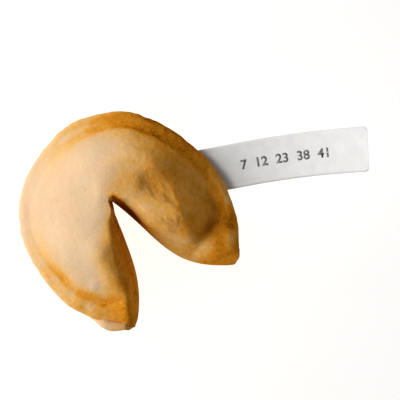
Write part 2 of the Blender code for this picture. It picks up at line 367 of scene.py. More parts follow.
def rim_and_fold(points, back):
    """Distance from the rim and from the fold, and the direction seen from the middle."""
    bearing = np.degrees(np.arctan2(points[:, 1], points[:, 0]))
    bearing = np.where(bearing < LOWEST_BEARING, bearing + 360.0, bearing)
    reach = np.linalg.norm(rim_points(bearing, back), axis=1)
    from_rim = np.maximum(reach - np.linalg.norm(points, axis=1), 0.0)
    return from_rim, distance(points, spine_line()), bearing


def spot(points, middle, turn, length, width):
    """A soft oval bump of height 1, turned by some degrees."""
    off = points[:, :2] - middle
    cosine, sine = np.cos(np.radians(turn)), np.sin(np.radians(turn))
    along = (off[:, 0] * cosine + off[:, 1] * sine) / length
    across = (off[:, 1] * cosine - off[:, 0] * sine) / width
    return np.exp(-(along**2) - across**2)


def spots(points, rows):
    """The soft ovals of a table, each by its amount, added up."""
    total = np.zeros(len(points))
    for x, y, turn, length, width, amount in rows:
        total += amount * spot(points, (x, y), turn, length, width)
    return total


def from_notch_corner(points):
    """Distance from the notch's inner corner, seen from above."""
    return np.linalg.norm(points[:, :2] - NOTCH_CORNER, axis=1)


def half_depth(points, back, from_rim, from_spine, bearing):
    """Height of the outer face over the middle plane."""
    band = smooth_table(FACE, bearing)
    edge = RIM_GAP / 2 + FOLD_OPENING * hump(from_spine, 0.0, FOLD_REACH) + SOLID_THICKNESS
    heights = []
    for column, dome in ((2, FRONT_RISE), (4, BACK_RISE)):
        slope, shoulder = (smooth_table(FACE, bearing, column + more) for more in (0, 1))
        rise = np.clip((from_rim - band) / shoulder, 0.0, 1.0)
        heights.append(edge + slope * np.minimum(from_rim, band) + dome * np.sin(np.pi / 2 * rise))
    height = np.where(back > 0.5, heights[1], heights[0])
    off = points[:, :2] - NOTCH_MIDDLE
    facing = np.degrees(np.arctan2(off[:, 1], off[:, 0]))
    facing = np.where(facing < LOWEST_FACING, facing + 360.0, facing)
    back_roll = edge + BACK_ROLL_SHARE * (height - edge)
    roll = np.where(back > 0.5, back_roll, np.maximum(smooth_table(ROLL, facing), NARROWEST_ROLL))
    power = np.where(back > 0.5, BACK_ROLL_POWER, smooth_table(ROLL, facing, 2))
    left_over = 1.0 - np.clip(from_spine / roll, 0.0, 1.0)
    height = height * (1.0 - left_over**power) ** (1.0 / power)
    clear = smooth_step(0.0, DENT_FADE_FOLD, from_spine) * smooth_step(0.0, DENT_FADE_RIM, from_rim)
    return height + (1.0 - back) * spots(points, DENTS) * clear


def folded(share, turn, back):
    """Places of wafer points, in mm about the middle of the outline and the middle plane."""
    even = 0.22
    crowded = (1.0 - even) * (1.0 - np.cos(turn)) / 2 + even * turn / np.pi
    points = plan(share, FIRST + (LAST - FIRST) * crowded, back)
    from_rim, from_spine, bearing = rim_and_fold(points, back)
    depth = half_depth(points, back, from_rim, from_spine, bearing)
    on_fold = (turn < TINY) | (turn > np.pi - TINY) | (share < TINY)
    depth = np.where(on_fold, 0.0, depth)
    height = np.where(back > 0.5, -np.minimum(depth, REST_HEIGHT), depth)
    return np.column_stack([points, height]), from_rim, from_spine, bearing


def outward(share, turn, back):
    """Outward direction of the folded wafer's outer face, from points a small step apart."""
    step = 0.002
    share = np.maximum(share, 3 * step)
    low, high = np.clip(turn - step, 0.0, np.pi), np.clip(turn + step, 0.0, np.pi)
    round_it = folded(share, high, back)[0] - folded(share, low, back)[0]
    inner, outer = np.clip(share - step, 2 * step, 1.0), np.clip(share + step, 0.0, 1.0)
    away = folded(outer, turn, back)[0] - folded(inner, turn, back)[0]
    normal = np.cross(away, round_it) * np.where(back > 0.5, -1.0, 1.0)[:, None]
    on_fold = (turn < TINY) | (turn > np.pi - TINY)
    normal[on_fold, 2] = 0.0
    return normal / np.maximum(np.linalg.norm(normal, axis=1), TINY)[:, None]


def noise_field(places, size, seed):
    """Smooth noise between about -1 and 1, with features of the given size in mm."""
    shift = Vector((seed * 7.31, seed * 3.17, seed * 5.53))
    return np.array([noise.noise(Vector(place) / size + shift) for place in places])


def noise_layers(places, layers):
    """Layers of smooth noise, each by its strength, added up."""
    return sum(strength * noise_field(places, size, seed) for size, seed, strength in layers)


# ---------------------------------------------------------------- small helpers


def cookie_origin():
    """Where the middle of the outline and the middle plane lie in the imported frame, in mm."""
    low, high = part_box("cookie")
    samples = 2000
    rim = rim_points(np.linspace(FIRST, LAST, samples), np.ones(samples))
    return np.array((low[0] / MM - rim[:, 0].min(), high[1] / MM - rim[:, 1].max(), REST_HEIGHT))


def finish_piece(name, mesh, material, body="root"):
    """Links a mesh as one smooth piece with its material, and has it ride on a body."""
    for polygon in mesh.polygons:
        polygon.use_smooth = True
    mesh.materials.clear()
    mesh.materials.append(material)
    piece = bpy.data.objects.new(name, mesh)
    bpy.context.scene.collection.objects.link(piece)
    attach(piece, body)
    return piece


def write_attribute(mesh, name, values):
    """Stores one number for each vertex, for the material to read."""
    layer = mesh.attributes.new(name, "FLOAT", "POINT")
    layer.data.foreach_set("value", np.asarray(values, dtype=np.float32))


class Nodes:
    """Short calls for laying out a material's nodes."""

    def __init__(self, name):
        self.material = bpy.data.materials.new(name)
        self.material.use_nodes = True
        self.tree = self.material.node_tree
        self.shader = self.tree.nodes["Principled BSDF"]
        self.place = self.tree.nodes.new("ShaderNodeTexCoord").outputs["Object"]

    def put(self, socket, value):
        """Links another node's output to a socket, or sets its value."""
        if isinstance(value, bpy.types.NodeSocket):
            self.tree.links.new(value, socket)
        else:
            socket.default_value = value

    def noise(self, size, detail=3.0, roughness=0.55, stretch=None):
        """Soft noise with features of about this size in metres."""
        node = self.tree.nodes.new("ShaderNodeTexNoise")
        node.inputs["Scale"].default_value = 1.0 / size
        node.inputs["Detail"].default_value = detail
        node.inputs["Roughness"].default_value = roughness
        place = self.place
        if stretch:
            mapping = self.tree.nodes.new("ShaderNodeMapping")
            mapping.inputs["Scale"].default_value = stretch
            self.tree.links.new(self.place, mapping.inputs["Vector"])
            place = mapping.outputs["Vector"]
        self.tree.links.new(place, node.inputs["Vector"])
        return node.outputs["Fac"]

    def cells(self, size, output="Distance"):
        """Cells of about this size in metres."""
        node = self.tree.nodes.new("ShaderNodeTexVoronoi")
        node.inputs["Scale"].default_value = 1.0 / size
        self.tree.links.new(self.place, node.inputs["Vector"])
        return node.outputs[output]

    def attribute(self, name):
        """A number stored on each vertex."""
        node = self.tree.nodes.new("ShaderNodeAttribute")
        node.attribute_name = name
        return node.outputs["Fac"]

    def math(self, kind, first, second, third=None):
        """A sum of the given kind."""
        node = self.tree.nodes.new("ShaderNodeMath")
        node.operation = kind
        self.put(node.inputs[0], first)
        self.put(node.inputs[1], second)
        if third is not None:
            self.put(node.inputs[2], third)
        return node.outputs[0]

    def ramp(self, value, low, high, to_low=0.0, to_high=1.0):
        """A soft rise or fall from one number to another."""
        node = self.tree.nodes.new("ShaderNodeMapRange")
        node.interpolation_type = "SMOOTHSTEP"
        self.put(node.inputs["Value"], value)
        limits = {"From Min": low, "From Max": high, "To Min": to_low, "To Max": to_high}
        for socket, number in limits.items():
            node.inputs[socket].default_value = number
        return node.outputs["Result"]

    def colours(self, value, stops):
        """A row of colours, read at a value."""
        node = self.tree.nodes.new("ShaderNodeValToRGB")
        while len(node.color_ramp.elements) < len(stops):
            node.color_ramp.elements.new(0.5)
        for element, (position, colour) in zip(node.color_ramp.elements, stops):
            element.position = position
            element.color = (*colour, 1.0)
        self.put(node.inputs["Fac"], value)
        return node.outputs["Color"]

    def mix(self, share, first, second):
        """A blend of two colours."""
        node = self.tree.nodes.new("ShaderNodeMix")
        node.data_type = "RGBA"
        self.put(node.inputs["Factor"], share)
        for socket, colour in ((node.inputs[6], first), (node.inputs[7], second)):
            self.put(socket, colour if isinstance(colour, bpy.types.NodeSocket) else (*colour, 1.0))
        return node.outputs[2]

    def bump(self, height, depth, below=None):
        """Fine relief of this depth in metres, on top of the relief below it."""
        node = self.tree.nodes.new("ShaderNodeBump")
        node.inputs["Distance"].default_value = depth
        self.tree.links.new(height, node.inputs["Height"])
        if below is not None:
            self.tree.links.new(below, node.inputs["Normal"])
        return node.outputs["Normal"]

    def finish(self, **sockets):
        """Fills the shader's sockets and hands over the material."""
        for name, value in sockets.items():
            self.put(self.shader.inputs[name.replace("_", " ")], value)
        return self.material


# ---------------------------------------------------------------- wafer


def notch_brown_and_shade(places, back, from_spine, baked_and_shaded):
    """Browns and darkens the sides of the notch: browner crust with painted shade on the left side,
    turned from the key light, and painted shadow on the right side near the corner.
    """
    from_corner = from_notch_corner(places)
    axis = np.radians(NOTCH_FACING)
    off = places[:, :2] - NOTCH_CORNER
    beside = off[:, 1] * np.cos(axis) - off[:, 0] * np.sin(axis)
    along = off[:, 0] * np.cos(axis) + off[:, 1] * np.sin(axis)
    # the left side is painted brown and dark over a width that grows away from the corner: painted shade
    # on the side turned from the key light
    left_reach = np.clip(0.72 * from_corner - 0.4, 0.3, 11.5)
    left = smooth_step(0.2, -0.8, beside) * smooth_step(1.0, 0.05, from_spine / left_reach)
    # the right side is painted darkest close to the corner: a painted shadow cast by the left lobe, with
    # browner crust
    right_reach = 1.9 + 1.5 * smooth_step(12.0, 2.0, from_corner)
    right = smooth_step(0.3, 1.2, beside) * smooth_step(1.0, 0.5, from_spine / right_reach)
    right = right * smooth_step(-2.0, -0.5, along) * smooth_step(17.0, 7.0, from_corner)
    # the apex is painted dark brown: painted shade in the corner of the notch
    apex = smooth_step(1.0, 0.4, from_spine) * smooth_step(3.0, 1.0, from_corner)
    baked_and_shaded = baked_and_shaded + (NOTCH_SIDE - baked_and_shaded) * left
    return baked_and_shaded + (NOTCH_DEEP - baked_and_shaded) * (1.0 - back) * np.maximum(right, 0.8 * apex)


def browning_and_shade_of(places, back, from_rim, from_spine, bearing):
    """How brown each point is, from 0, pale, to 1: baked browning with painted shade on the side turned
    from the key light and in the notch.
    """
    wander = noise_layers(places, BROWNING_WANDER)
    across = from_rim / smooth_table(FACE, bearing) + wander
    rim, band, crease, inside = (smooth_table(FACE, bearing, column) for column in (6, 7, 8, 9))
    baked_and_shaded = rim + (band - rim) * smooth_step(0.10, 0.45, across)
    baked_and_shaded = baked_and_shaded + (crease - baked_and_shaded) * smooth_step(0.62, 0.92, across)
    baked_and_shaded = baked_and_shaded + (inside - baked_and_shaded) * smooth_step(1.10, 1.45, across)
    # browner towards the right, the side turned from the key light: real browning with painted shade
    toward_shaded_side = places[:, 0] - 0.12 * (places[:, 1] - 10.0)
    dome = DOME_PALE + DOME_BROWN_AND_SHADE * smooth_step(DOME_LEFT, DOME_RIGHT, toward_shaded_side)
    dome = np.where(back > 0.5, BACK_DOME, dome)
    baked_and_shaded = baked_and_shaded + (dome - baked_and_shaded) * smooth_step(1.4, 2.4, across)
    baked_and_shaded = baked_and_shaded + (1.0 - back) * spots(places, PATCHES)
    baked_and_shaded = notch_brown_and_shade(places, back, from_spine, baked_and_shaded)
    # pale islands in the band
    island = smooth_step(0.15, 0.50, noise_field(places, 2.9, 21))
    on_band = smooth_step(0.22, 0.35, baked_and_shaded) * smooth_step(0.90, 0.70, baked_and_shaded)
    on_band = on_band * smooth_step(1.3, 1.0, across)
    return np.clip(baked_and_shaded - 0.20 * island * on_band, 0.0, BROWNEST)


def wrinkles(places):
    """Wrinkles and small lumps down the middle of the right lobe."""
    turn = np.radians(WRINKLE_TURN)
    along = places[:, 0] * np.cos(turn) + places[:, 1] * np.sin(turn)
    beside = places[:, 1] * np.cos(turn) - places[:, 0] * np.sin(turn)
    stretched = np.column_stack([along * WRINKLE_STRETCH, beside, 0.4 * places[:, 2]])
    folds = noise_field(stretched, WRINKLE_SIZE, 6)
    lumps = noise_field(places, 1.2, 12)
    return spot(places, *WRINKLE_PATCH) * (0.24 * (1.0 - 2.6 * np.abs(folds)) + 0.12 * lumps)


def blisters(places):
    """Small round blisters strewn over the upper face, and one knob on the left lobe."""
    total = KNOB_HEIGHT * spot(places, KNOB, 0.0, KNOB_RADIUS, KNOB_RADIUS)
    rng = np.random.default_rng(5)
    for _ in range(BLISTER_COUNT):
        middle = BLISTER_MIDDLE + rng.normal(0.0, BLISTER_SPREAD)
        radius, high = rng.uniform(*BLISTER_RADIUS), rng.uniform(*BLISTER_HEIGHT)
        total += high * spot(places, middle, 0.0, radius, radius)
    return total


def relief_of(places, back, from_rim, from_spine, bearing, strength):
    """How far each point of the wafer stands out of the smooth shape, in mm."""
    relief = noise_layers(places, UNEVEN_FACE)
    relief += (1.0 - back) * (wrinkles(places) + blisters(places))
    across = from_rim / smooth_table(FACE, bearing)
    relief += smooth_step(1.2, 0.6, across) * noise_layers(places, UNEVEN_BAND)
    # a shallow groove and a step where the band meets the dome
    edge = smooth_table(FACE, bearing, 10)
    relief -= 0.20 * hump(across, 0.99, 0.11) * edge
    relief += 0.12 * smooth_step(0.98, 1.2, across) * edge
    calm = 1.0 - 0.75 * hump(from_spine, 0.0, 1.6)
    return strength * relief * calm


def wafer_material(settings):
    """Baked crust: browning painted on the wafer, with painted shade on the sides turned from the key
    light, broken up by blotches, grain, pores and dots.
    """
    n = Nodes("wafer_crust_and_painted_shade")
    baked_and_shaded = n.attribute("browning_and_shade")
    broad = n.noise(0.009, 4.0, 0.6)
    blotch = n.noise(0.0032, 4.0, 0.62)
    fine = n.noise(0.0011, 4.0, 0.7)
    crumb = n.noise(0.0005, 2.0, 0.6)
    value = n.math("MULTIPLY", baked_and_shaded, 0.84)
    value = n.math("MULTIPLY_ADD", n.math("SUBTRACT", broad, 0.5), 0.14, value)
    # small pale spots in the band
    pale_spots = n.ramp(n.cells(0.0017), 0.42, 0.10)
    on_band = n.math("MULTIPLY", n.ramp(baked_and_shaded, 0.25, 0.45), n.ramp(baked_and_shaded, 0.95, 0.75))
    value = n.math("MULTIPLY_ADD", n.math("MULTIPLY", pale_spots, on_band), -0.08, value)
    # blotches, grain and crumb, all stronger where the crust is browner
    layers = ((blotch, 0.6, 0.14, 0.46), (fine, 0.5, 0.16, 0.42), (crumb, 0.5, 0.08, 0.24))
    for layer, full, weak, strong in layers:
        amount = n.ramp(baked_and_shaded, 0.05, full, weak, strong)
        value = n.math("MULTIPLY_ADD", n.math("SUBTRACT", layer, 0.5), amount, value)
    # a few dark dots, in about a quarter of the cells
    dots = n.ramp(n.cells(0.0042), 0.075, 0.035)
    chance = n.math("FRACT", n.math("MULTIPLY", n.cells(0.0042, "Color"), 7.0), 0.0)
    chosen = n.ramp(chance, 0.72, 0.76)
    value = n.math("MULTIPLY_ADD", n.math("MULTIPLY", dots, chosen), 0.30, value)
    # the darkest stops carry painted shade and shadow where the crust is turned from the key light and
    # deep in the notch
    stops = (
        (0.0, settings.pale),
        (0.28, settings.golden),
        (0.52, settings.toasted),
        (0.70, settings.brown),
        (0.86, settings.dark),
        (1.0, settings.burnt_and_shadow),
    )
    grain = n.bump(crumb, 0.00005)
    pores = n.bump(n.ramp(n.cells(0.0011), 0.05, 0.32), 0.00004, grain)
    pitted = n.bump(fine, 0.00013, pores)
    lumps = n.bump(n.noise(0.0021, 3.0, 0.5), 0.00012, pitted)
    dull, smooth = settings.roughness + 0.07, settings.roughness - 0.06
    return n.finish(
        Base_Color=n.colours(value, stops),
        Roughness=n.ramp(n.noise(0.0024, 3.0), 0.35, 0.65, dull, smooth),
        Normal=lumps,
        Subsurface_Weight=0.06,
        Subsurface_Radius=(1.0, 0.6, 0.35),
        Subsurface_Scale=0.0007,
        Specular_IOR_Level=0.0,
    )


def spin_plate(bm, rings, spokes):
    """A thin round plate of radius 1 and depth 1 with steps round its edge, spun from half a section."""
    section = [(0.0, 0.0)]
    section += [((ring / rings) ** RING_CROWDING, 0.0) for ring in range(1, rings + 1)]
    section += [(1.0, step / (EDGE_STEPS + 1)) for step in range(1, EDGE_STEPS + 1)]
    section += [((ring / INNER_RINGS) ** RING_CROWDING, 1.0) for ring in range(INNER_RINGS, 0, -1)]
    section += [(0.0, 1.0)]
    verts = [bm.verts.new((away, 0.0, -depth)) for away, depth in section]
    edges = [bm.edges.new(pair) for pair in zip(verts[:-1], verts[1:])]
    bmesh.ops.spin(
        bm,
        geom=verts + edges,
        cent=(0.0, 0.0, 0.0),
        axis=(0.0, 0.0, 1.0),
        angle=2 * np.pi,
        steps=spokes,
        use_merge=True,
    )
    bmesh.ops.remove_doubles(bm, verts=bm.verts, dist=1e-6)
    bmesh.ops.recalc_face_normals(bm, faces=bm.faces)


def rim_wear(places, back, from_rim, bearing):
    """How far the rim is drawn in. It wavers in and out, and is fullest at the upper right."""
    wear = WEAR_MEAN + noise_layers(places, WORN_RIM)
    wear = wear - FULL_AMOUNT * hump(bearing, FULL_MIDDLE, FULL_SPREAD)
    wear = wear * (1.0 - back * hump(bearing, LIP_MIDDLE, 1.3 * LIP_SPREAD))
    return hump(from_rim, 0.0, WEAR_REACH) * np.clip(wear, *WEAR_LIMITS)


def wall_thickness(thickness, from_rim, from_spine):
    """The wall, thinner inside the rim and towards the fold, in mm."""
    thinning, start, end = INNER_THINNING
    wall = thickness * (1.0 - thinning * smooth_step(start, end, from_rim))
    thinning, start, end = FOLD_THINNING
    return wall * (1.0 - thinning * smooth_step(end, start, from_spine))


def curl_lip(places, browning_and_shade, back, from_rim, from_spine, bearing):
    """The back layer's pale lip curls up against the rim of the front layer."""
    front_reach, back_reach = (
        np.linalg.norm(rim_points(bearing, np.full_like(back, side)), axis=1) for side in (0.0, 1.0)
    )
    lip_width = back_reach - front_reach
    lip = back * smooth_step(1.2, -0.1, from_rim - lip_width) * smooth_step(0.0, 2.2, from_spine)
    climb = sum(height * smooth_step(first, last, bearing) for first, last, height in LIP_CLIMB)
    places[:, 2] += climb * lip
    pale = 0.08 + 0.25 * smooth_step(258.0, 268.0, bearing)
    return browning_and_shade + (pale - browning_and_shade) * 0.9 * lip * smooth_step(0.1, 0.8, lip_width)


def bend_over_notch(places, outer, from_spine, bearing):
    """Beside the notch's corner the front layer leans over it and the back layer sinks away.

    The left tip is rounded off here too.
    """
    reach = np.where(bearing > 180.0, LEAN_LEFT, LEAN_RIGHT)
    near = hump(from_notch_corner(outer), 0.0, reach) * hump(from_spine, 0.0, LEAN_INWARD)
    up = smooth_step(0.0, LEAN_HEIGHT, places[:, 2])
    places[:, :2] += np.outer(near * up, LEAN) + np.outer(near * (1.0 - up), SINK)
    at_tip = spot(outer, LEFT_TIP, 0.0, LEFT_TIP_REACH, LEFT_TIP_REACH)
    places[:, :2] += np.outer(at_tip, LEFT_TIP_PULL)


def keep_in_box(places):
    """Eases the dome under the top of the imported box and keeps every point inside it."""
    low, high = (np.array(corner) / MM - cookie_origin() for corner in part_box("cookie"))
    bend = high[2] - MARGIN - TOP_EASE
    over = np.clip(places[:, 2] - bend, 0.0, None)
    places[:, 2] = np.minimum(places[:, 2], bend) + TOP_EASE * np.tanh(over / TOP_EASE)
    places[:, 2] = np.maximum(places[:, 2], -REST_HEIGHT)
    places[:, :2] = np.clip(places[:, :2], low[:2] + MARGIN, high[:2] - MARGIN)


def fold_plate(flat, front_share, thickness, relief_strength):
    """Folds and bends the plate's points. Returns their places in mm and their browning, which carries
    painted shade too.
    """
    share = np.minimum(np.hypot(flat[:, 0], flat[:, 1]), 1.0)
    pole = share < POLE_SHARE
    lap = np.mod(np.arctan2(flat[:, 1], flat[:, 0]) / (2 * np.pi), 1.0)
    lap[pole | (lap > 1.0 - 1e-7)] = 0.0
    back = (lap > front_share + 1e-7).astype(float)
    turn = np.where(back > 0.5, (1.0 - lap) / (1.0 - front_share), lap / front_share)
    turn = np.pi * np.clip(turn, 0.0, 1.0)
    depth = -flat[:, 2]
    at_edge = share > 1.0 - 1e-6

    outer, from_rim, from_spine, bearing = folded(share, turn, back)
    normal = outward(share, turn, back)
    facing = np.radians(NOTCH_FACING)
    normal[pole] = (np.cos(facing), np.sin(facing), 0.0)
    relief = relief_of(outer, back, from_rim, from_spine, bearing, relief_strength)
    flat_rest = (back > 0.5) & (outer[:, 2] < -REST_HEIGHT + 0.25)
    relief = np.where(flat_rest, 0.0, relief)

    # the edge thins and droops from both faces and is rounded between them
    wall = wall_thickness(thickness, from_rim, from_spine)
    droop = DROOP * wall * hump(from_rim, 0.0, DROOP_REACH)
    relief = relief - droop
    wall = wall - 2.0 * droop
    rounded = np.where(at_edge, ROUNDING * wall * (2.0 * depth - 1.0) ** 4, 0.0)
    inward = NOTCH_CORNER - outer[:, :2]
    inward = inward / np.maximum(np.linalg.norm(inward, axis=1), 1e-6)[:, None]
    places = outer + (relief - depth * wall)[:, None] * normal
    places[:, :2] += (rim_wear(outer, back, from_rim, bearing) + rounded)[:, None] * inward

    # the hollow's inner wall is paler than the face outside it
    browning_and_shade = browning_and_shade_of(outer, back, from_rim, from_spine, bearing)
    browning_and_shade = np.where((depth > 0.5) & ~at_edge, 0.45 * browning_and_shade + 0.12, browning_and_shade)
    browning_and_shade = curl_lip(places, browning_and_shade, back, from_rim, from_spine, bearing)
    upturn = hump(bearing, UPTURN_MIDDLE, UPTURN_SPREAD) * smooth_step(UPTURN_START, UPTURN_END, from_rim)
    places[:, 2] += UPTURN * upturn
    bend_over_notch(places, outer, from_spine, bearing)
    keep_in_box(places)
    return places, browning_and_shade


def build_wafer(settings):
    """The hollow cookie: one round plate, folded in half and bent."""
    spokes = settings.front_spokes + settings.back_spokes
    bm = bmesh.new()
    spin_plate(bm, settings.rings, spokes)
    flat = np.array([vert.co for vert in bm.verts])
    front_share = settings.front_spokes / spokes
    places, browning_and_shade = fold_plate(flat, front_share, settings.thickness / MM, settings.relief)
    places = (places + cookie_origin()) * MM
    for vert, place in zip(bm.verts, places):
        vert.co = place
    mesh = bpy.data.meshes.new("folded_wafer")
    bm.to_mesh(mesh)
    bm.free()
    write_attribute(mesh, "browning_and_shade", browning_and_shade)
    piece = finish_piece("folded_wafer", mesh, wafer_material(settings))
    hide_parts("cookie")
    return piece


# ---------------------------------------------------------------- slip


def slip_heading(along):
    """Direction of the slip seen from above, in radians, at a distance along it."""
    eased = np.clip((along - SLIP_TURN_START) / (SLIP_LENGTH - SLIP_TURN_START), 0.0, 1.0)
    return np.radians(SLIP_HEADING + SLIP_TURN * eased)


def slip_places(along, across):
    """Places on the slip's middle surface and its upward directions, in mm."""
    steps = np.linspace(0.0, 1.0, SLIP_STEPS + 1)
    middles = along[:, None] * (steps[:-1] + steps[1:])[None] / 2
    gap = along / SLIP_STEPS
    lift = np.clip(middles - SLIP_LIFT_START, 0.0, None) / SLIP_LIFT_RADIUS
    heading = slip_heading(middles)
    x = SLIP_START[0] + gap * (np.cos(lift) * np.cos(heading)).sum(-1)
    y = SLIP_START[1] + gap * (np.cos(lift) * np.sin(heading)).sum(-1)
    z = gap * np.sin(lift).sum(-1)
    here = slip_heading(along)
    rise = np.clip(along - SLIP_LIFT_START, 0.0, None) / SLIP_LIFT_RADIUS
    free = smooth_step(SLIP_FREE_START, SLIP_FREE_END, along)
    cup = SLIP_CUP * np.cos(2 * np.pi * across / (SLIP_CUP_SPAN * SLIP_WIDTH)) - SLIP_SAG
    z = z + free * cup
    z = z + free * SLIP_TWIST * np.sin(along / SLIP_TWIST_LENGTH) * across / SLIP_WIDTH
    up = np.column_stack([-np.sin(rise) * np.cos(here), -np.sin(rise) * np.sin(here), np.cos(rise)])
    return np.column_stack([x - across * np.sin(here), y + across * np.cos(here), z]), up


def slip_material(settings):
    """White paper with a faint cloud and fibres along the slip."""
    n = Nodes("slip_paper")
    cloudy = n.noise(0.003, 3.0)
    fibre = n.noise(0.0006, 4.0, 0.65, (0.35, 1.0, 1.0))
    low = tuple(0.93 * part for part in settings.colour)
    colour = n.mix(n.ramp(cloudy, 0.3, 0.7), low, tuple(settings.colour))
    fibre_colour = tuple(0.82 * part for part in settings.colour)
    colour = n.mix(n.ramp(fibre, 0.35, 0.75, 0.0, 0.10), colour, fibre_colour)
    normal = n.bump(fibre, 0.00002)
    normal = n.bump(n.noise(0.0002, 2.0), 0.00001, normal)
    rough = n.ramp(cloudy, 0.3, 0.7, 0.86, 0.94)
    return n.finish(Base_Color=colour, Roughness=rough, Normal=normal, Specular_IOR_Level=0.25)


def build_slip(settings):
    """The paper slip, from its hidden end in the hollow to its round corners in the open."""
    bm = bmesh.new()
    bmesh.ops.create_grid(bm, x_segments=SLIP_COLUMNS, y_segments=SLIP_ROWS, size=0.5)
    flat = np.array([vert.co for vert in bm.verts])
    column = np.round((flat[:, 0] + 0.5) * SLIP_COLUMNS)
    plain, straight = SLIP_COLUMNS - SLIP_CORNER_COLUMNS, SLIP_LENGTH - SLIP_CORNER
    corner = np.pi / 2 * np.clip(column - plain, 0, None) / SLIP_CORNER_COLUMNS
    along = straight * np.minimum(column / plain, 1.0) + SLIP_CORNER * np.sin(corner)
    half = SLIP_WIDTH / 2 - SLIP_CORNER * (1.0 - np.cos(corner))
    places, _ = slip_places(along, 2 * half * flat[:, 1])
    places = (places + cookie_origin()) * MM
    for vert, place in zip(bm.verts, places):
        vert.co = place
    bmesh.ops.recalc_face_normals(bm, faces=bm.faces)
    if sum(face.normal.z for face in bm.faces) < 0.0:
        bmesh.ops.reverse_faces(bm, faces=bm.faces)
    mesh = bpy.data.meshes.new("paper_slip")
    bm.to_mesh(mesh)
    bm.free()
    piece = finish_piece("paper_slip", mesh, slip_material(settings))
    solidify = piece.modifiers.new("thickness", "SOLIDIFY")
    solidify.thickness = settings.thickness
    solidify.offset = 0.0
    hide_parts("slip")
    return piece


def ink_material(colour):
    """Dark ink with faint worn specks."""
    n = Nodes("printed_ink")
    worn = n.noise(0.0004, 3.0, 0.6)
    faded = tuple(0.72 + 0.28 * part for part in colour)
    specks = n.mix(n.ramp(worn, 0.35, 0.72), tuple(colour), faded)
    shade = n.mix(0.35, tuple(colour), specks)
    rough = n.ramp(worn, 0.3, 0.7, 0.7, 0.82)
    return n.finish(Base_Color=shade, Roughness=rough, Specular_IOR_Level=0.25)


def build_print(settings, paper_thickness):
    """Sets the numbers as a mesh and lays it on the slip's curved face."""
    words = bpy.data.curves.new("number_row", "FONT")
    words.body = settings.numbers
    words.size = 1.0
    words.extrude = 0.0
    words.offset = LETTER_WEIGHT
    words.resolution_u = 6
    words.space_character = LETTER_SPACING
    setting = bpy.data.objects.new("number_row", words)
    bpy.context.scene.collection.objects.link(setting)
    bpy.context.view_layer.update()
    evaluated = setting.evaluated_get(bpy.context.evaluated_depsgraph_get())
    mesh = bpy.data.meshes.new_from_object(evaluated)
    bpy.data.objects.remove(setting, do_unlink=True)
    bpy.data.curves.remove(words)
    bm = bmesh.new()
    bm.from_mesh(mesh)
    bmesh.ops.remove_doubles(bm, verts=bm.verts, dist=1e-5)
    flat = np.array([vert.co for vert in bm.verts])
    low, high = flat.min(axis=0), flat.max(axis=0)
    scale = settings.length / MM / (high[0] - low[0])
    along = settings.start / MM + (flat[:, 0] - low[0]) * scale
    across = (flat[:, 1] - (low[1] + high[1]) / 2) * scale + settings.across / MM
    places, up = slip_places(along, across)
    places = places + (paper_thickness / MM / 2 + INK_LIFT) * up + cookie_origin()
    for vert, place in zip(bm.verts, places * MM):
        vert.co = place
    if sum(face.normal.z for face in bm.faces) < 0.0:
        bmesh.ops.reverse_faces(bm, faces=bm.faces)
    bm.normal_update()
    bm.to_mesh(mesh)
    bm.free()
    piece = finish_piece("slip_numbers", mesh, ink_material(settings.ink))
    ink = piece.modifiers.new("thickness", "SOLIDIFY")
    ink.thickness = INK_THICKNESS * MM
    ink.offset = -1.0
    return piece


# ---------------------------------------------------------------- stage


def floor_material(colour):
    """Matt pale board, a little cloudy and grainy."""
    n = Nodes("pale_floor")
    broad = n.noise(0.06, 3.0)
    fine = n.noise(0.0015, 3.0)
    shade = n.mix(n.ramp(broad, 0.3, 0.7), tuple(0.985 * part for part in colour), tuple(colour))
    shade = n.mix(n.ramp(fine, 0.3, 0.7, 0.0, 0.04), shade, tuple(0.93 * part for part in colour))
    return n.finish(Base_Color=shade, Roughness=0.9, Specular_IOR_Level=0.2)


def add_area_light(name, place, target, size, power):
    """A square soft light that faces its target."""
    data = bpy.data.lights.new(name, "AREA")
    data.shape = "SQUARE"
    data.size = size
    data.energy = power
    data.color = LIGHT_COLOUR
    light = bpy.data.objects.new(name, data)
    light.location = place
    light.rotation_euler = (Vector(target) - Vector(place)).to_track_quat("-Z", "Y").to_euler()
    bpy.context.scene.collection.objects.link(light)
    return light


def add_floor(settings):
    """The pale floor, just under the cookie."""
    bm = bmesh.new()
    bmesh.ops.create_grid(bm, x_segments=2, y_segments=2, size=settings.floor_size / 2)
    bmesh.ops.translate(bm, verts=bm.verts, vec=(0.0, 0.0, -FLOOR_DROP * MM))
    mesh = bpy.data.meshes.new("floor")
    bm.to_mesh(mesh)
    bm.free()
    mesh.materials.append(floor_material(settings.floor_colour))
    floor = bpy.data.objects.new("floor", mesh)
    bpy.context.scene.collection.objects.link(floor)
    return floor


def add_fill(settings):
    """Even white light from all round."""
    world = bpy.data.worlds.new("studio")
    world.use_nodes = True
    sky = world.node_tree.nodes["Background"]
    sky.inputs["Color"].default_value = (1.0, 1.0, 1.0, 1.0)
    sky.inputs["Strength"].default_value = settings.fill
    bpy.context.scene.world = world


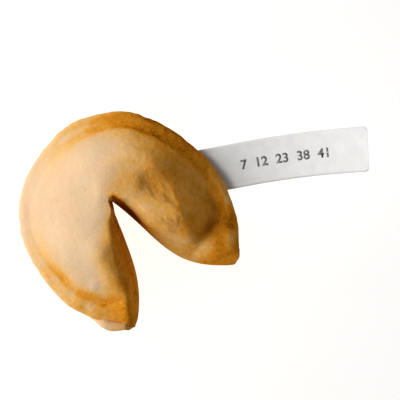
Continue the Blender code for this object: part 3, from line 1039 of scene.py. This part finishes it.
def add_lights(settings, middle, floor):
    """The key light on the pieces, and the same light on the floor alone, for a faint shadow."""
    turn, lift = np.radians(settings.key_direction), np.radians(settings.key_height)
    away = np.array((np.cos(lift) * np.cos(turn), np.cos(lift) * np.sin(turn), np.sin(lift)))
    place = middle + settings.key_distance * away
    lit = bpy.data.collections.new("lit_by_key")
    for piece in bpy.context.scene.collection.all_objects:
        if piece.type == "MESH" and piece is not floor:
            lit.objects.link(piece)
    key = add_area_light("key_light", place, middle, settings.key_size, settings.key_power)
    key.light_linking.receiver_collection = lit
    ground = bpy.data.collections.new("lit_by_floor_light")
    ground.objects.link(floor)
    floor_power = FLOOR_LIGHT_SHARE * settings.key_power
    wash = add_area_light("floor_light", place, middle, settings.key_size, floor_power)
    wash.light_linking.receiver_collection = ground
    wash.light_linking.blocker_collection = ground


def add_camera(settings, middle):
    """A long lens that looks straight down."""
    scene = bpy.context.scene
    lens = bpy.data.cameras.new("camera")
    lens.lens = settings.lens
    lens.clip_start, lens.clip_end = 0.01, 20.0
    camera = bpy.data.objects.new("camera", lens)
    height = settings.view_width * settings.lens / lens.sensor_width
    camera.location = (settings.view_x, settings.view_y, middle[2] + height)
    scene.collection.objects.link(camera)
    scene.camera = camera


def build_stage(settings):
    """Floor, fill, lights and camera."""
    middle = cookie_origin() * MM
    floor = add_floor(settings)
    add_fill(settings)
    add_lights(settings, middle, floor)
    add_camera(settings, middle)
    bpy.context.scene.view_settings.view_transform = "Standard"


# ---------------------------------------------------------------- properties


class CookieWaferSettings(bpy.types.PropertyGroup):
    thickness: FloatProperty(
        name="Thickness",
        description="Thickness of the baked wafer",
        default=0.0022,
        unit="LENGTH",
    )
    relief: FloatProperty(
        name="Relief",
        description="Strength of the dents, wrinkles and blisters",
        default=1.0,
    )
    rings: IntProperty(name="Rings", description="Rings of faces from the notch to the rim", default=130)
    front_spokes: IntProperty(
        name="Front Spokes",
        description="Faces round the front layer",
        default=360,
    )
    back_spokes: IntProperty(name="Back Spokes", description="Faces round the back layer", default=120)
    roughness: FloatProperty(
        name="Roughness",
        description="Roughness of the crust",
        default=0.6,
        subtype="FACTOR",
    )
    pale: FloatVectorProperty(
        name="Pale",
        description="Colour of the least baked crust",
        default=(0.675, 0.478, 0.303),
        subtype="COLOR",
    )
    golden: FloatVectorProperty(
        name="Golden",
        description="Colour of the golden crust",
        default=(0.72, 0.42, 0.15),
        subtype="COLOR",
    )
    toasted: FloatVectorProperty(
        name="Toasted",
        description="Colour of the toasted rim",
        default=(0.70, 0.33, 0.055),
        subtype="COLOR",
    )
    brown: FloatVectorProperty(
        name="Brown",
        description="Colour of the brown rim",
        default=(0.66, 0.245, 0.016),
        subtype="COLOR",
    )
    # reached on the rim and on the notch's left side turned from the key light: brown crust with painted
    # shade
    dark: FloatVectorProperty(
        name="Dark",
        description="Colour of the darkest spots",
        default=(0.50, 0.170, 0.005),
        subtype="COLOR",
    )
    # reached deep in the notch's right side: dark crust with painted shadow
    burnt_and_shadow: FloatVectorProperty(
        name="Burnt",
        description="Colour deep in the notch",
        default=(0.20, 0.036, 0.001),
        subtype="COLOR",
    )


class CookieSlipSettings(bpy.types.PropertyGroup):
    thickness: FloatProperty(
        name="Thickness",
        description="Thickness of the paper",
        default=0.00016,
        unit="LENGTH",
    )
    colour: FloatVectorProperty(
        name="Colour",
        description="Colour of the paper",
        default=(0.80, 0.80, 0.80),
        subtype="COLOR",
    )


class CookiePrintSettings(bpy.types.PropertyGroup):
    numbers: StringProperty(
        name="Numbers",
        description="Row of lucky numbers",
        default="7  12  23  38  41",
    )
    length: FloatProperty(name="Length", description="Length of the row", default=0.0248, unit="LENGTH")
    start: FloatProperty(
        name="Start",
        description="Distance of the row from the slip's inner end",
        default=0.0292,
        unit="LENGTH",
    )
    across: FloatProperty(
        name="Across",
        description="How far the row is set off the middle",
        default=-0.0001,
        unit="LENGTH",
    )
    ink: FloatVectorProperty(
        name="Ink",
        description="Colour of the ink",
        default=(0.075, 0.075, 0.08),
        subtype="COLOR",
    )


class CookieStageSettings(bpy.types.PropertyGroup):
    floor_size: FloatProperty(
        name="Floor Size",
        description="Side of the square floor",
        default=6.0,
        unit="LENGTH",
    )
    floor_colour: FloatVectorProperty(
        name="Floor Colour",
        description="Colour of the floor",
        default=(0.97, 0.97, 0.97),
        subtype="COLOR",
    )
    fill: FloatProperty(name="Fill", description="Strength of the light from all round", default=0.19)
    key_power: FloatProperty(
        name="Key Power",
        description="Power of the key light",
        default=34.5,
        unit="POWER",
    )
    key_direction: FloatProperty(
        name="Key Direction",
        description="Direction the key light stands in, in degrees",
        default=172.0,
    )
    key_height: FloatProperty(
        name="Key Height",
        description="Height of the key light, in degrees",
        default=36.0,
    )
    key_distance: FloatProperty(
        name="Key Distance",
        description="Distance of the key light",
        default=1.6,
        unit="LENGTH",
    )
    key_size: FloatProperty(
        name="Key Size",
        description="Width of the key light",
        default=1.03,
        unit="LENGTH",
    )
    lens: FloatProperty(name="Lens", description="Focal length in millimetres", default=120.0)
    view_width: FloatProperty(
        name="View Width",
        description="Width seen at the middle plane",
        default=0.112,
        unit="LENGTH",
    )
    view_x: FloatProperty(
        name="View X",
        description="Middle of the view along X",
        default=0.00221,
        unit="LENGTH",
    )
    view_y: FloatProperty(
        name="View Y",
        description="Middle of the view along Y",
        default=0.00578,
        unit="LENGTH",
    )


# ---------------------------------------------------------------- operators


class COOKIE_OT_wafer(bpy.types.Operator):
    """Build the hollow folded wafer"""

    bl_idname = "cookie.wafer"
    bl_label = "Folded Wafer"

    def execute(self, context):
        build_wafer(context.scene.cookie_wafer)
        return {"FINISHED"}


class COOKIE_OT_slip(bpy.types.Operator):
    """Build the paper slip"""

    bl_idname = "cookie.slip"
    bl_label = "Paper Slip"

    def execute(self, context):
        build_slip(context.scene.cookie_slip)
        return {"FINISHED"}


class COOKIE_OT_print(bpy.types.Operator):
    """Print the row of numbers on the slip"""

    bl_idname = "cookie.print"
    bl_label = "Printed Numbers"

    def execute(self, context):
        build_print(context.scene.cookie_print, context.scene.cookie_slip.thickness)
        return {"FINISHED"}


class COOKIE_OT_stage(bpy.types.Operator):
    """Lay the floor and set up the lights and the camera"""

    bl_idname = "cookie.stage"
    bl_label = "Stage"

    def execute(self, context):
        build_stage(context.scene.cookie_stage)
        return {"FINISHED"}


class COOKIE_PT_panel(bpy.types.Panel):
    """Buttons for every piece of the cookie"""

    bl_idname = "COOKIE_PT_panel"
    bl_label = "Fortune Cookie"
    bl_space_type = "VIEW_3D"
    bl_region_type = "UI"
    bl_category = "Cookie"

    def draw(self, context):
        for operator, name in PANEL_ROWS:
            self.layout.operator(operator)
            settings = getattr(context.scene, name)
            for key in settings.__annotations__:
                self.layout.prop(settings, key)


PANEL_ROWS = (
    ("cookie.wafer", "cookie_wafer"),
    ("cookie.slip", "cookie_slip"),
    ("cookie.print", "cookie_print"),
    ("cookie.stage", "cookie_stage"),
)
GROUPS = {
    "cookie_wafer": CookieWaferSettings,
    "cookie_slip": CookieSlipSettings,
    "cookie_print": CookiePrintSettings,
    "cookie_stage": CookieStageSettings,
}
CLASSES = (COOKIE_OT_wafer, COOKIE_OT_slip, COOKIE_OT_print, COOKIE_OT_stage, COOKIE_PT_panel)


def register():
    for name, group in GROUPS.items():
        bpy.utils.register_class(group)
        setattr(bpy.types.Scene, name, PointerProperty(type=group))
    for item in CLASSES:
        bpy.utils.register_class(item)


def unregister():
    for item in reversed(CLASSES):
        bpy.utils.unregister_class(item)
    for name, group in GROUPS.items():
        delattr(bpy.types.Scene, name)
        bpy.utils.unregister_class(group)


def main():
    register()
    for operator, _ in PANEL_ROWS:
        group, name = operator.split(".")
        getattr(getattr(bpy.ops, group), name)()


if __name__ == "__main__":
    main()
